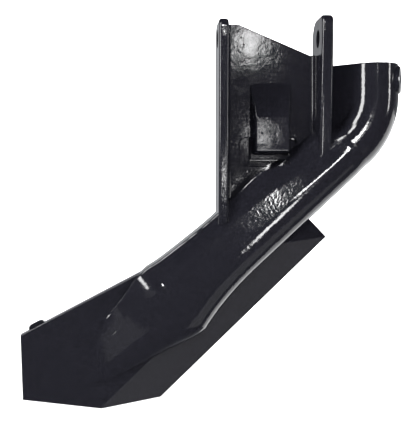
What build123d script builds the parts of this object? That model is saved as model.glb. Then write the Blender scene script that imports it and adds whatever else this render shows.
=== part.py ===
"""Cast seed drill share: a bolt-on bracket, a bent seed tube and a wedge-shaped furrow opener.

Millimetres. X runs along the drill's travel, Y across it, Z up.
The origin is the middle of the bolt axis through the two ears.
"""
import os
from collections import namedtuple
from math import atan2, cos, degrees, radians, sin, tan

from build123d import *

os.makedirs("parts", exist_ok=True)

# Bracket: two flanges on a web, with a bolt bore through their ears
bracket_width = 92.0
left_flange_wall = 8.0
right_flange_wall = 9.5
left_ear_height = 14.7
right_ear_height = 17.5
ear_back_radius = 17.0
ear_front_radius = 7.0
ear_bore_diameter = 15.0
bolt_to_back = 27.0
bolt_to_front = 19.0
left_foot_height = -150.0
left_foot_setback = 8.0
right_foot_height = -104.0
right_foot_setback = 11.0
web_wall = 8.0
web_top_left = 15.5
web_top_right = -11.0
web_shoulder = 11.0
flange_dive = 12.0
flange_edge_radius = 2.2
left_root_radius = 7.0
right_root_radius = 3.0

# Locating pad on the web, with the groove round its lower end
pad_width = 34.5
pad_top = -34.0
pad_bottom = -99.0
pad_ramp_length = 30.0
pad_height = 15.0
pad_taper = 12.0
pad_edge_radius = 1.5
pad_corner_radius = 4.0
plinth_top = -87.5
plinth_ledge = 3.5
plinth_height = 2.5
plinth_bevel = 0.7
groove_depth = 5.0
groove_left = 8.2
groove_right = 4.8
groove_below = 4.8
groove_top = -80.5
groove_radius = 4.0
groove_lip = 0.8

# Seed tube: upright inlet, one bend, then a straight run down to the boot
tube_bore_diameter = 32.0
tube_wall = 4.0
tube_offset = 84.0
inlet_top = -20.5
bend_height = -70.5
bend_radius = 56.0
fall_angle = 43.0
neck_lead = 1.65
neck_length = 12.0
tube_back_gap = 0.5
gusset_angle = 45.0
gusset_sink = 0.4
gusset_run = 16.0
saddle_run = 12.0
rim_bevel = 0.8

# Hose screw boss on the inlet
boss_diameter = 22.6
boss_reach = 21.5
boss_height = -33.6
boss_turn = 20.0
boss_tap_diameter = 8.5

# Furrow opener: flat shield with a wedge along its leading edge. A run goes down the slope, a reach across it
shield_wall = 12.0
wedge_edge = 2.5
wedge_width = 30.0
wing_run = 90.0
wing_reach = 43.7
toe_run = 285.5
toe_reach = 47.3
toe_back_run = 327.7
toe_back_reach = 18.8
heel_run = 370.7
heel_reach = -31.1
heel_top_run = 335.0
heel_top_reach = -72.4
neck_run = 210.0
neck_reach = -38.2
bevel_run = 22.6
bevel_reach = 16.3
bevel_lip = 1.5
shield_edge_radius = 1.2
heel_sides = 3
lug_run = 321.0
lug_reach = -68.6
lug_length = 14.0
lug_width = 6.0
lug_height = 5.0

# Seed outlet, open to the back of the boot
outlet_width = 38.0
outlet_depth = 22.0
outlet_start = 172.0
outlet_end = 252.0
outlet_reach = -4.0
bore_run = 185.0

# Boot sections: rounding of the shoulder, rounding of the ridge per length of run, the straight share of the
# facet in front of the ridge, and how far a section reaches behind the back face before it's trimmed off
shoulder_radius = 2.0
ridge_softness = 0.1
facet_share = 0.8
trim = 3.0

# How far one solid reaches into the next, and how close two places must be to count as one
overlap = 2.0
tolerance = 0.01

back_y = bolt_to_back
front_y = -bolt_to_front
web_front = back_y - web_wall
pad_foot = pad_bottom + plinth_ledge
half_width = bracket_width / 2
left_inner = left_flange_wall - half_width
right_inner = half_width - right_flange_wall
bore_radius = tube_bore_diameter / 2
tube_radius = bore_radius + tube_wall
tube_height = tube_radius + tube_back_gap
tube_crest = tube_height + tube_radius
tube_y = back_y - tube_height
fall_x = -cos(radians(fall_angle))
fall_z = -sin(radians(fall_angle))
bend_run = bend_radius * tan(radians((90 - fall_angle) / 2))
neck_start = bend_run + neck_lead
neck_end = neck_start + neck_length


slope_plane = Plane(
    origin=(tube_offset, back_y, bend_height),
    x_dir=(fall_x, 0, fall_z),
    z_dir=(0, -1, 0),
)


def run_at(x):
    """How far down the slope the tube's axis passes under x."""
    return (x - tube_offset) / fall_x


def on_slope(run, reach, height=0.0):
    """A point given by its run down the slope, its reach across it and its height over the back face."""
    return slope_plane.from_local_coords(Vector(run, reach, height))


def boot_plane(run):
    """A plane square to the slope. Its X goes across the boot, its Y is the height over the back face."""
    return Plane(
        origin=on_slope(run, 0),
        x_dir=(-fall_z, 0, fall_x),
        z_dir=(fall_x, 0, fall_z),
    )


# Flanges
def flange_side(inner_x, top, foot, setback):
    """Side view of a flange: a rounded ear above, and a front edge that leans back towards its foot."""
    with BuildSketch(Plane.YZ.offset(inner_x)) as side:
        with BuildLine():
            Polyline(
                (back_y, foot - flange_dive),
                (back_y, top),
                (front_y, top),
                (front_y, 0),
                (front_y + setback, foot),
                (front_y + setback + flange_dive, foot - flange_dive),
                close=True,
            )
        make_face()
        fillet(side.vertices().sort_by_distance((front_y + setback, foot))[0], flange_dive)
        fillet(side.vertices().group_by(Axis.Y)[-1].sort_by(Axis.X)[0], ear_front_radius)
        fillet(side.vertices().group_by(Axis.Y)[-1].sort_by(Axis.X)[-1], ear_back_radius)
    return side.sketch


def flange_rim(flange):
    """The edges round both sides of a flange, apart from those at its foot."""
    side_edges = flange.faces().filter_by(Axis.X).edges()
    return side_edges.filter_by(lambda edge: edge.center().Z > flange.part.bounding_box().min.Z + overlap)


def web_roots(casting):
    """The upright edges where the web's front face meets the flanges, from left to right."""
    upright = casting.edges().filter_by(Axis.Z)
    return upright.filter_by(lambda edge: abs(edge.center().Y - web_front) < tolerance).sort_by(Axis.X)


with BuildPart() as left_flange:
    side = flange_side(-half_width, left_ear_height, left_foot_height, left_foot_setback)
    extrude(side, left_flange_wall)
    fillet(flange_rim(left_flange), flange_edge_radius)

with BuildPart() as right_flange:
    side = flange_side(right_inner, right_ear_height, right_foot_height, right_foot_setback)
    extrude(side, right_flange_wall)
    fillet(flange_rim(right_flange), flange_edge_radius)

# Locating pad: a ramp that rises from the web to a flat crown, over a low plinth at its lower end
with BuildPart() as pad:
    with BuildSketch(Plane.XZ.offset(-web_front)) as pad_outline:
        with Locations((0, (pad_top + pad_foot) / 2)):
            Rectangle(pad_width, pad_top - pad_foot)
        fillet(pad_outline.vertices().group_by(Axis.Z)[0], pad_corner_radius)
    extrude(amount=pad_height, taper=pad_taper)
    with BuildSketch(Plane.YZ):
        with BuildLine():
            Polyline(
                (web_front, pad_top),
                (web_front - pad_height, pad_top - pad_ramp_length),
                (web_front - pad_height - overlap, pad_top - pad_ramp_length),
                (web_front - pad_height - overlap, pad_top + overlap),
                (web_front, pad_top + overlap),
                close=True,
            )
        make_face()
    extrude(amount=pad_width, both=True, mode=Mode.SUBTRACT)
    crown_edges = pad.edges().filter_by(
        lambda edge: edge.center().Y < web_front - overlap and edge.center().Z < pad_top - overlap
    )
    fillet(crown_edges, pad_edge_radius)

with BuildPart() as plinth:
    with BuildSketch(Plane.XZ.offset(-web_front - groove_depth)) as plinth_outline:
        with Locations((0, (plinth_top + pad_bottom) / 2)):
            Rectangle(pad_width, plinth_top - pad_bottom)
        fillet(plinth_outline.vertices(), plinth_ledge / 2)
    extrude(amount=groove_depth + plinth_height)
    chamfer(plinth.edges().group_by(Axis.Y)[0], plinth_bevel)

# Bracket: flanges, web and pad, with the groove round the pad's lower end and the bolt bore
with BuildPart() as bracket:
    with BuildSketch(Plane.XZ.offset(-back_y)):
        with BuildLine():
            Polyline(
                (left_inner - overlap, web_top_left),
                (left_inner + web_shoulder, web_top_left),
                (right_inner - right_root_radius, web_top_right),
                (right_inner + overlap, web_top_right),
                (right_inner + overlap, on_slope(run_at(right_inner + overlap), 0).Z),
                (left_inner - overlap, on_slope(run_at(left_inner - overlap), 0).Z),
                close=True,
            )
        make_face()
    extrude(amount=web_wall)
    add(left_flange.part)
    add(right_flange.part)
    fillet(web_roots(bracket)[0], left_root_radius)
    fillet(web_roots(bracket)[-1], right_root_radius)
    with BuildSketch(Plane.XZ.offset(-web_front)) as groove:
        with BuildLine():
            Polyline(
                (-pad_width / 2 - groove_left, groove_top),
                (pad_width / 2 + groove_right, groove_top),
                (pad_width / 2 + groove_right, pad_bottom - groove_below),
                (-pad_width / 2 - groove_left, pad_bottom - groove_below),
                close=True,
            )
        make_face()
        fillet(groove.vertices(), groove_radius)
    extrude(amount=-groove_depth, mode=Mode.SUBTRACT)
    chamfer(bracket.edges(Select.LAST).group_by(Axis.Y)[0], groove_lip)
    add(pad.part)
    add(plinth.part)
    with BuildSketch(Plane.YZ.offset(-half_width)):
        Circle(ear_bore_diameter / 2)
    extrude(amount=bracket_width, mode=Mode.SUBTRACT)


# Seed tube, from the inlet to the neck
def tube_route(run, lead):
    """Centre line of the tube: down the inlet, round the bend and along the slope."""
    start = Vector(tube_offset, tube_y, inlet_top + lead)
    corner = Vector(tube_offset, tube_y, bend_height)
    end = on_slope(run, 0, tube_height)
    return FilletPolyline(start, corner, end, radius=bend_radius)


inlet_plane = Plane(origin=(tube_offset, tube_y, inlet_top), z_dir=(0, 0, 1))

with BuildPart() as tube:
    with BuildLine():
        tube_route(neck_start, 0)
    with BuildSketch(inlet_plane):
        Circle(tube_radius)
    sweep()
    chamfer(tube.edges().group_by(Axis.Z)[-1], rim_bevel)

# Gusset: fills the corner between the right flange, the inlet and the back face
with BuildPart() as gusset:
    tangent_x = tube_offset - (tube_radius - gusset_sink) * sin(radians(gusset_angle))
    tangent_y = tube_y - (tube_radius - gusset_sink) * cos(radians(gusset_angle))
    gusset_x = half_width - overlap
    with BuildSketch(Plane.XY.offset(inlet_top)):
        with BuildLine():
            Polyline(
                (gusset_x, back_y),
                (tube_offset, back_y),
                (tube_offset, tube_y),
                (tangent_x, tangent_y),
                (gusset_x, tangent_y + (tangent_x - gusset_x) * tan(radians(gusset_angle))),
                close=True,
            )
        make_face()
    extrude(amount=-(inlet_top - on_slope(run_at(gusset_x), 0).Z))
    split(bisect_by=Plane(origin=on_slope(gusset_run, 0), z_dir=(fall_z, 0, -fall_x)), keep=Keep.TOP)

    # Saddle behind the start of the slope, which carries the flat back up to the bend
    with BuildSketch(slope_plane):
        with Locations(((saddle_run + neck_end) / 2, 0)):
            Rectangle(neck_end - saddle_run, 2 * (tube_radius - gusset_sink))
    extrude(amount=tube_height)

# Boot: sections down the slope that turn the round tube into the bulge that fades out on the shield
Station = namedtuple(
    "Station",
    "run foot top top_height ridge ridge_height crest crest_height low low_height",
)

neck = [
    Station(neck_end, -32.8, -24.3, 27, -11, 37.2, 0, tube_crest, tube_radius, tube_height),
    Station(52, -32.8, -25.7, 25, -12.6, 36, 0, tube_crest, tube_radius, tube_height),
    Station(72, -32.0, -24.5, 26, -15, 36.2, 0, tube_crest, tube_radius, tube_height),
    Station(96, -38.5, -36.5, 30, -18, 36.5, 0, tube_crest, tube_radius, tube_height),
]
body = [
    neck[-1],
    Station(120, -37.5, -36.8, 30.5, -20.8, 36.7, 0.5, tube_crest, tube_radius, tube_height),
    Station(145, -35.8, -35.8, 31, -22.5, 36.8, 1, tube_crest, tube_radius, tube_height),
    Station(172, -37, -37, 31, -23, 37, 1.5, 40.3, 20.8, tube_height),
    Station(195, -38.9, -38.9, 30, -24.5, 36.2, 2.5, 39.6, 23.6, 19.5),
    Station(217, -42, -42, 27, -26, 34, 4.5, 37.6, 28.6, 18),
]
tail = [
    body[-1],
    Station(240, -39.8, -39.8, 21.5, -25, 28.5, 3.5, 33.5, 23.6, 16.5),
    Station(262, -35.5, -35.5, 13.5, -22, 18.8, 0.5, 25, 17.6, 13.5),
    Station(286, -34, -34, 10.5, -19, 13.8, -1.5, 17.3, 11.8, 11.5),
    Station(310, -33, -33, 9, -17, 11.2, -3, 13.4, 5, 9.5),
    Station(335, -32, -32, 7, -15, 9, -4, 10.5, 1, 7.5),
]


def on_tube(angle):
    """A point on the round tube's section, by its angle from the front."""
    return (tube_radius * sin(radians(angle)), tube_height + tube_radius * cos(radians(angle)))


def round_section(run):
    """The round tube's section, in as many arcs as the boot's sections have sides."""
    corners = [-135, -78, -68, -44, -38, -12, 0, 90, 135, 225]
    with BuildSketch(boot_plane(run)) as section:
        with BuildLine():
            for start, end in zip(corners, corners[1:]):
                ThreePointArc(on_tube(start), on_tube((start + end) / 2), on_tube(end))
        make_face()
    return section.sketch


def boot_section(station):
    """A section of the boot: upper wall, strip, ridge, facet, crowned front and a round lower side."""
    top = Vector(station.top, station.top_height)
    ridge = Vector(station.ridge, station.ridge_height)
    crest = Vector(station.crest, station.crest_height)
    low = Vector(station.low, station.low_height)
    span = crest.X - ridge.X
    facet_slope = (crest.Y - ridge.Y) / span / (facet_share + (1 - facet_share) / 2)
    facet_end = ridge + Vector(1, facet_slope) * span * facet_share
    with BuildSketch(boot_plane(station.run)) as section:
        with BuildLine():
            Polyline((station.foot, -trim), top, ridge, facet_end)
            Spline(facet_end, crest, tangents=[(1, facet_slope), (1, 0)])
            Spline(crest, low, tangents=[(1, 0), (0, -1)])
            Polyline(low, (station.low, -trim), (station.foot, -trim))
        make_face()
        fillet(section.vertices().sort_by_distance(top)[0], shoulder_radius)
        fillet(section.vertices().sort_by_distance(ridge)[0], ridge_softness * station.run)
    return section.sketch


with BuildPart() as boot:
    neck_sections = [round_section(neck_start)] + [boot_section(station) for station in neck]
    for start, end in zip(neck_sections, neck_sections[1:]):
        loft([start, end])
    loft([boot_section(station) for station in body])
    loft([boot_section(station) for station in tail])
    split(bisect_by=Plane.XZ.offset(-back_y), keep=Keep.TOP)

# Furrow opener
with BuildPart() as opener:
    with BuildSketch(slope_plane):
        with BuildLine():
            Polyline(
                (wing_run, 0),
                (wing_run, wing_reach),
                (toe_run, toe_reach),
                (toe_back_run, toe_back_reach),
                (heel_run, heel_reach),
                (heel_top_run, heel_top_reach),
                (neck_run, neck_reach),
                (neck_run, 0),
                close=True,
            )
        make_face()
    extrude(amount=shield_wall)
    wing_tip = on_slope(wing_run, wing_reach)
    toe = on_slope(toe_run, toe_reach)
    wedge_slope = (shield_wall - wedge_edge) / wedge_width
    with BuildSketch(Plane(origin=wing_tip, x_dir=(0, -1, 0), z_dir=toe - wing_tip)):
        with BuildLine():
            Polyline(
                (shield_wall, wedge_width),
                (wedge_edge - wedge_slope * overlap, -overlap),
                (shield_wall + overlap, -overlap),
                (shield_wall + overlap, wedge_width),
                close=True,
            )
        make_face()
    extrude(amount=(toe - wing_tip).length + 2 * wedge_width, mode=Mode.SUBTRACT)

    # Bevel that thins the wing's upper end towards its back corner
    bevel_back = on_slope(wing_run, tube_radius, bevel_lip)
    bevel_inner = on_slope(
        wing_run + bevel_run,
        wing_reach - bevel_reach,
        wedge_edge + bevel_reach * wedge_slope,
    )
    bevel_outer = on_slope(wing_run, wing_reach, wedge_edge)
    bevel_normal = (bevel_outer - bevel_inner).cross(bevel_back - bevel_inner)
    bevel_plane = Plane(origin=bevel_inner, x_dir=bevel_outer - bevel_inner, z_dir=bevel_normal)
    split(bisect_by=bevel_plane, keep=Keep.BOTTOM)

    # Rounded edges on the sides round the heel, and the small cast lug on its top edge
    shield_front = opener.faces().filter_by(Axis.Y).sort_by(Axis.Y)[0]
    fillet(shield_front.edges().sort_by(Axis.X)[:heel_sides], shield_edge_radius)
    top_edge_angle = degrees(atan2(heel_top_reach - neck_reach, heel_top_run - neck_run))
    with BuildSketch(slope_plane):
        with Locations((lug_run, lug_reach)):
            SlotOverall(lug_length, lug_width, rotation=top_edge_angle)
    extrude(amount=lug_height)

# The whole casting
boss_axis = (cos(radians(boss_turn)), -sin(radians(boss_turn)), 0)
boss_plane = Plane(origin=(tube_offset, tube_y, boss_height), z_dir=boss_axis)

with BuildPart() as boss:
    with BuildSketch(boss_plane):
        Circle(boss_diameter / 2)
    extrude(amount=boss_reach)
    chamfer(boss.faces().sort_by(Axis.X)[-1].edges(), rim_bevel)

with BuildPart() as share_casting:
    add(bracket.part)
    add(tube.part)
    add(gusset.part)
    add(boot.part)
    add(opener.part)
    add(boss.part)

    # Seed passage: the bore, its outlet through the back, and the tapped hole in the boss
    with BuildLine():
        tube_route(bore_run, overlap)
    with BuildSketch(inlet_plane.offset(overlap)):
        Circle(bore_radius)
    sweep(mode=Mode.SUBTRACT)
    with BuildSketch(slope_plane):
        with Locations(((outlet_start + outlet_end) / 2, outlet_reach)):
            SlotOverall(outlet_end - outlet_start, outlet_width)
    extrude(amount=outlet_depth, mode=Mode.SUBTRACT)
    with BuildSketch(boss_plane):
        Circle(boss_tap_diameter / 2)
    extrude(amount=boss_reach, mode=Mode.SUBTRACT)

share_casting.part.label = "share_casting"
export_step(share_casting.part, "parts/share_casting.step")
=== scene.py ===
"""Gloss black cast seed drill share, hung by its bolt bore over a pale studio floor.

Metres. The object's frame is the casting's own: X along the drill's travel, Y across it, Z up.
"""
import math

import bpy
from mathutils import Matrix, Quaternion, Vector


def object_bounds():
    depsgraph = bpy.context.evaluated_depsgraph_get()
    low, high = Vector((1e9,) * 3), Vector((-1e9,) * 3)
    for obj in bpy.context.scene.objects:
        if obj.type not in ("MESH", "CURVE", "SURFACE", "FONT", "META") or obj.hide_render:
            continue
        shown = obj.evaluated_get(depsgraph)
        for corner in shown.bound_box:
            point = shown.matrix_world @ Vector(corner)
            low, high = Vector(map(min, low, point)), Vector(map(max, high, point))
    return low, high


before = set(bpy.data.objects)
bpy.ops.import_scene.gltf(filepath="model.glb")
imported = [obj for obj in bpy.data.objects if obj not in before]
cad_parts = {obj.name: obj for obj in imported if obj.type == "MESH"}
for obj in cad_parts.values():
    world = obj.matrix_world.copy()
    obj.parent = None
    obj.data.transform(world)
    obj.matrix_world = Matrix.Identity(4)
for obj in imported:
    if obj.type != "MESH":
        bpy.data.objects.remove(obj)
cad_low, cad_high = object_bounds()
centre = (cad_low + cad_high) / 2
scene = bpy.context.scene

# The photograph's frame and focal length in pixels, and the point that the camera looks straight at
PHOTO_WIDTH = 416
PHOTO_HEIGHT = 422
PHOTO_FOCAL = 905
PHOTO_AIM_X = 147
PHOTO_AIM_Y = 185

# Camera place, measured from the middle of the casting's bolt axis, and its sensor in millimetres
CAMERA_PLACE = Vector((-0.104, -0.744, -0.120))
CAMERA_SENSOR = 36

# The paint's colour varies in a fine grain, between these levels of the noise
PAINT_IOR = 1.42
PAINT_DARK = (0.0035, 0.0035, 0.0050, 1)
PAINT_PALE = (0.0075, 0.0075, 0.0100, 1)
GRAIN_SIZE = 0.0016
GRAIN_DARK_LEVEL = 0.35
GRAIN_PALE_LEVEL = 0.65

# The paint's roughness varies in wider patches
PATCH_SIZE = 0.009
PATCH_SMOOTH_LEVEL = 0.3
PATCH_ROUGH_LEVEL = 0.7
ROUGHNESS_LOW = 0.05
ROUGHNESS_HIGH = 0.10

# The cast skin under the paint: slow waves, orange peel and small pits
WAVE_SIZE = 0.016
WAVE_DEPTH = 0.00010
PEEL_SIZE = 0.0030
PEEL_DEPTH = 0.000035
PIT_SPACING = 0.0045
PIT_RADIUS_SHARE = 0.22
PIT_DEPTH = 0.00002

# The peel grows deeper towards the front, so that the tube and boot are coarser than the web
FINE_SKIN_Y = -0.002
COARSE_SKIN_Y = -0.011
COARSE_SKIN_SHARE = 2.6

# The floor and the backdrop that it curves up into
FLOOR_GAP = 0.06
FLOOR_FRONT_Y = -4.5
FLOOR_BEND_Y = 0.9
BACKDROP_Y = 1.9
BACKDROP_RISE = 2.6
BEND_STEPS = 16
STAGE_HALF_WIDTH = 4.5
STAGE_PALENESS = 0.80
STAGE_ROUGHNESS = 0.9

# The room's colour: in the gloss, in front of the casting and behind it, and as the camera sees it
ROOM_FRONT = (0.10, 0.10, 0.12, 1)
ROOM_BACK = (0.50, 0.51, 0.53, 1)
ROOM_SEEN = (0.86, 0.88, 0.90, 1)

# Where the mirrored room turns from front to back, by a direction's part along Y
ROOM_FRONT_END = -0.2
ROOM_BACK_START = 0.9

# Where the mirrored room turns dark above, by a direction's part along Z, and the share of light left there
ROOM_TOP_START = 0.15
ROOM_TOP_END = 0.5
ROOM_TOP_SHARE = 0.15

# The windows that the flat faces and the tube's slope mirror hang side by side behind the camera
WINDOW_Y = -2.12

# Where the backdrop's light points, and how wide it spreads in degrees
BACKDROP_AIM = Vector((0, 2.0, -0.3))
BACKDROP_SPREAD = 110

# The floor's own light: its strength, and how wide a part of the sky it fills in degrees
FLOOR_LIGHT_STRENGTH = 3.0
FLOOR_LIGHT_ANGLE = 60


def make_camera():
    """A camera that looks along +Y, shifted so that its frame is the photograph's."""
    data = bpy.data.cameras.new("camera")
    data.sensor_width = CAMERA_SENSOR
    data.lens = data.sensor_width * PHOTO_FOCAL / PHOTO_HEIGHT
    data.shift_x = (PHOTO_WIDTH / 2 - PHOTO_AIM_X) / PHOTO_HEIGHT
    data.shift_y = (PHOTO_AIM_Y - PHOTO_HEIGHT / 2) / PHOTO_HEIGHT
    camera = bpy.data.objects.new("camera", data)
    camera.location = CAMERA_PLACE
    camera.rotation_euler = Vector((0, 1, 0)).to_track_quat("-Z", "Y").to_euler()
    scene.collection.objects.link(camera)
    scene.camera = camera


class Nodes:
    """Adds shader nodes to a material or a world and links them."""

    def __init__(self, owner):
        owner.use_nodes = True
        self.tree = owner.node_tree

    def first(self, name):
        """A node that the tree starts with."""
        return self.tree.nodes[name]

    def add(self, kind, **settings):
        """A new node, with its own settings or its inputs' values given by name."""
        node = self.tree.nodes.new(kind)
        for name, value in settings.items():
            if name in node.bl_rna.properties:
                setattr(node, name, value)
            else:
                node.inputs[name.replace("_", " ").title()].default_value = value
        return node

    def link(self, source, target):
        self.tree.links.new(source, target)


def axis(nodes, place, name):
    """One coordinate of a place or a direction."""
    axes = nodes.add("ShaderNodeSeparateXYZ")
    nodes.link(place, axes.inputs["Vector"])
    return axes.outputs[name]


def noise(nodes, place, size, detail=2.0, roughness=0.5):
    """Noise whose lumps are about the given size, in metres."""
    texture = nodes.add("ShaderNodeTexNoise", scale=1 / size, detail=detail, roughness=roughness)
    nodes.link(place, texture.inputs["Vector"])
    return texture.outputs["Fac"]


def remap(nodes, value, low, high, to_low=0.0, to_high=1.0, curve="LINEAR"):
    """Stretches a value between two limits onto two others."""
    ranged = nodes.add("ShaderNodeMapRange", interpolation_type=curve)
    nodes.link(value, ranged.inputs["Value"])
    for name, limit in (("From Min", low), ("From Max", high), ("To Min", to_low), ("To Max", to_high)):
        ranged.inputs[name].default_value = limit
    return ranged.outputs["Result"]


def times(nodes, first, second):
    """The product of two values."""
    product = nodes.add("ShaderNodeMath", operation="MULTIPLY")
    nodes.link(first, product.inputs[0])
    nodes.link(second, product.inputs[1])
    return product.outputs["Value"]


def blend(nodes, share, first, second):
    """A colour that goes from the first to the second as the share goes from 0 to 1."""
    mix = nodes.add("ShaderNodeMix", data_type="RGBA")
    mix.inputs["A"].default_value = first
    mix.inputs["B"].default_value = second
    nodes.link(share, mix.inputs["Factor"])
    return mix.outputs["Result"]


def bump(nodes, height, depth, below=None):
    """A bump whose lumps stand up by the given depth, in metres, over the bump below it."""
    node = nodes.add("ShaderNodeBump")
    node.inputs["Strength"].default_value = 1.0
    node.inputs["Distance"].default_value = depth
    nodes.link(height, node.inputs["Height"])
    if below is not None:
        nodes.link(below, node.inputs["Normal"])
    return node.outputs["Normal"]


def paint_colour(nodes, place):
    """Black with a fine grain."""
    grain = noise(nodes, place, GRAIN_SIZE, detail=4, roughness=0.7)
    return blend(nodes, remap(nodes, grain, GRAIN_DARK_LEVEL, GRAIN_PALE_LEVEL), PAINT_DARK, PAINT_PALE)


def paint_roughness(nodes, place):
    """Glossy, a little less so in patches."""
    patches = noise(nodes, place, PATCH_SIZE, detail=3, roughness=0.6)
    return remap(nodes, patches, PATCH_SMOOTH_LEVEL, PATCH_ROUGH_LEVEL, ROUGHNESS_LOW, ROUGHNESS_HIGH)


def cast_skin(nodes, place):
    """The normal of a sand-cast skin."""
    coarseness = remap(nodes, axis(nodes, place, "Y"), FINE_SKIN_Y, COARSE_SKIN_Y, 1.0, COARSE_SKIN_SHARE)
    waves = noise(nodes, place, WAVE_SIZE, detail=1)
    peel = times(nodes, noise(nodes, place, PEEL_SIZE, detail=3, roughness=0.55), coarseness)
    pits = nodes.add("ShaderNodeTexVoronoi", scale=1 / PIT_SPACING, randomness=1.0)
    nodes.link(place, pits.inputs["Vector"])
    pit_floor = remap(nodes, pits.outputs["Distance"], 0.0, PIT_RADIUS_SHARE)
    normal = bump(nodes, waves, WAVE_DEPTH)
    normal = bump(nodes, peel, PEEL_DEPTH, normal)
    return bump(nodes, pit_floor, PIT_DEPTH, normal)


def painted_casting():
    """Gloss black paint over the cast skin, in the casting's own coordinates."""
    material = bpy.data.materials.new("gloss_black_casting")
    nodes = Nodes(material)
    shader = nodes.first("Principled BSDF")
    place = nodes.add("ShaderNodeTexCoord").outputs["Object"]
    shader.inputs["IOR"].default_value = PAINT_IOR
    nodes.link(paint_colour(nodes, place), shader.inputs["Base Color"])
    nodes.link(paint_roughness(nodes, place), shader.inputs["Roughness"])
    nodes.link(cast_skin(nodes, place), shader.inputs["Normal"])
    return material


def paint_casting():
    """Puts the paint on the casting's one piece."""
    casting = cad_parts["share_casting"]
    casting.data.materials.clear()
    casting.data.materials.append(painted_casting())


def pale_floor():
    """A plain matt finish for the floor and backdrop."""
    material = bpy.data.materials.new("pale_floor")
    shader = Nodes(material).first("Principled BSDF")
    shader.inputs["Base Color"].default_value = (STAGE_PALENESS, STAGE_PALENESS, STAGE_PALENESS, 1)
    shader.inputs["Roughness"].default_value = STAGE_ROUGHNESS
    return material


def stage_profile():
    """The stage seen from its side, as (y, z): flat floor, round bend and upright backdrop."""
    floor_z = cad_low.z - FLOOR_GAP
    radius = BACKDROP_Y - FLOOR_BEND_Y
    profile = [(FLOOR_FRONT_Y, floor_z), (FLOOR_BEND_Y, floor_z)]
    for step in range(1, BEND_STEPS + 1):
        angle = math.pi / 2 * step / BEND_STEPS
        profile.append((FLOOR_BEND_Y + radius * math.sin(angle), floor_z + radius * (1 - math.cos(angle))))
    profile.append((BACKDROP_Y, floor_z + BACKDROP_RISE))
    return profile


def make_stage():
    """A pale floor below the casting and a backdrop behind it, which the gloss does not mirror."""
    profile = stage_profile()
    vertices = [(side * STAGE_HALF_WIDTH, y, z) for y, z in profile for side in (-1, 1)]
    faces = [(2 * n, 2 * n + 1, 2 * n + 3, 2 * n + 2) for n in range(len(profile) - 1)]
    mesh = bpy.data.meshes.new("floor")
    mesh.from_pydata(vertices, [], faces)
    mesh.polygons.foreach_set("use_smooth", [True] * len(faces))
    mesh.materials.append(pale_floor())
    floor = bpy.data.objects.new("floor", mesh)
    floor.visible_glossy = False
    floor.visible_shadow = False
    scene.collection.objects.link(floor)


def mirrored_room(nodes):
    """The room in the gloss: grey in front of the casting, paler behind it and dark above."""
    way = nodes.add("ShaderNodeTexCoord").outputs["Generated"]
    depth = remap(nodes, axis(nodes, way, "Y"), ROOM_FRONT_END, ROOM_BACK_START, curve="SMOOTHSTEP")
    light = remap(nodes, axis(nodes, way, "Z"), ROOM_TOP_START, ROOM_TOP_END,
                  1.0, ROOM_TOP_SHARE, curve="SMOOTHSTEP")
    room = nodes.first("Background")
    nodes.link(blend(nodes, depth, ROOM_FRONT, ROOM_BACK), room.inputs["Color"])
    nodes.link(light, room.inputs["Strength"])
    return room.outputs["Background"]


def seen_room(nodes):
    """The room beyond the stage as the camera sees it: evenly pale."""
    room = nodes.add("ShaderNodeBackground")
    room.inputs["Color"].default_value = ROOM_SEEN
    return room.outputs["Background"]


def make_room():
    """The room around the stage, one way for the gloss and another for the camera."""
    world = bpy.data.worlds.new("studio")
    nodes = Nodes(world)
    path = nodes.add("ShaderNodeLightPath")
    either = nodes.add("ShaderNodeMixShader")
    nodes.link(path.outputs["Is Camera Ray"], either.inputs["Fac"])
    nodes.link(mirrored_room(nodes), either.inputs[1])
    nodes.link(seen_room(nodes), either.inputs[2])
    nodes.link(either.outputs["Shader"], nodes.first("World Output").inputs["Surface"])
    scene.world = world


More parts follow.
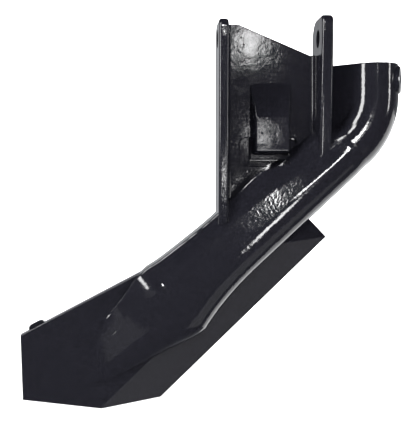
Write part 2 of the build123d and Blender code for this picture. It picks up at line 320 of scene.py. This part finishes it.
def softbox(name, place, width, tall, power, aim=centre, roll=0, spread=180):
    """A soft rectangular light at a place, facing its aim and rolled about the line to it."""
    data = bpy.data.lights.new(name, "AREA")
    data.shape = "RECTANGLE"
    data.size = width
    data.size_y = tall
    data.energy = power
    data.spread = math.radians(spread)
    light = bpy.data.objects.new(name, data)
    light.location = Vector(place)
    facing = (light.location - aim).to_track_quat("Z", "Y")
    light.rotation_euler = (facing @ Quaternion((0, 0, 1), math.radians(roll))).to_euler()
    light.visible_camera = False
    scene.collection.objects.link(light)


def make_lights():
    """The room's lights, each under the name of what it shows in."""
    # the slope and bend of the tube, and a faint light on all that faces the camera
    softbox("slope_window", (-0.035, WINDOW_Y, 0.70), width=0.35, tall=0.50, power=42)
    # the long line down the tube's front, and the foot of the pad
    softbox("tube_strip", (0.056, -0.50, -0.158), width=0.09, tall=0.07, power=0.6, roll=40)
    # the upper left corner of the web
    softbox("web_window", (0.225, WINDOW_Y, 0.335), width=0.08, tall=0.09, power=0.7)
    # the lower half of the locating pad
    softbox("crown_window", (0.255, WINDOW_Y, 0.04), width=0.03, tall=0.06, power=0.15)
    # the left edges of the flanges, the left side of the inlet and the upper edge of the tail
    softbox("left_window", (-1.37, -0.705, 0.50), width=0.45, tall=1.4, power=46)
    # the top of the bend and the root of the web
    softbox("top_window", (-1.03, -0.95, 1.30), width=0.30, tall=0.40, power=10)
    # the right edges of the flanges and the right side of the inlet
    softbox("right_strip", (1.72, -0.80, 0.12), width=0.22, tall=0.6, power=8)
    # the rim that runs round the outside of the bend and under the boot
    softbox("rear_window", (1.30, 0.75, -0.85), width=1.5, tall=1.5, power=18)
    # the slope of the wing and the strip over it
    softbox("wing_panel", (0.75, -1.03, -1.15), width=1.0, tall=0.9, power=1.8)
    # the soft patch on the bulge over the shield
    softbox("tail_panel", (-1.30, -1.20, -0.45), width=0.9, tall=0.45, power=0.45)
    # the backdrop, from above and behind the casting
    softbox("backdrop_light", (0.0, 1.0, 1.3), width=2.4, tall=0.5, power=45,
            aim=BACKDROP_AIM, spread=BACKDROP_SPREAD)


def make_floor_light():
    """An even light from above for the floor, which the gloss does not mirror."""
    data = bpy.data.lights.new("floor_light", "SUN")
    data.energy = FLOOR_LIGHT_STRENGTH
    data.angle = math.radians(FLOOR_LIGHT_ANGLE)
    light = bpy.data.objects.new("floor_light", data)
    light.visible_glossy = False
    scene.collection.objects.link(light)


make_camera()
make_stage()
make_room()
make_lights()
make_floor_light()
paint_casting()
scene.view_settings.view_transform = "Standard"
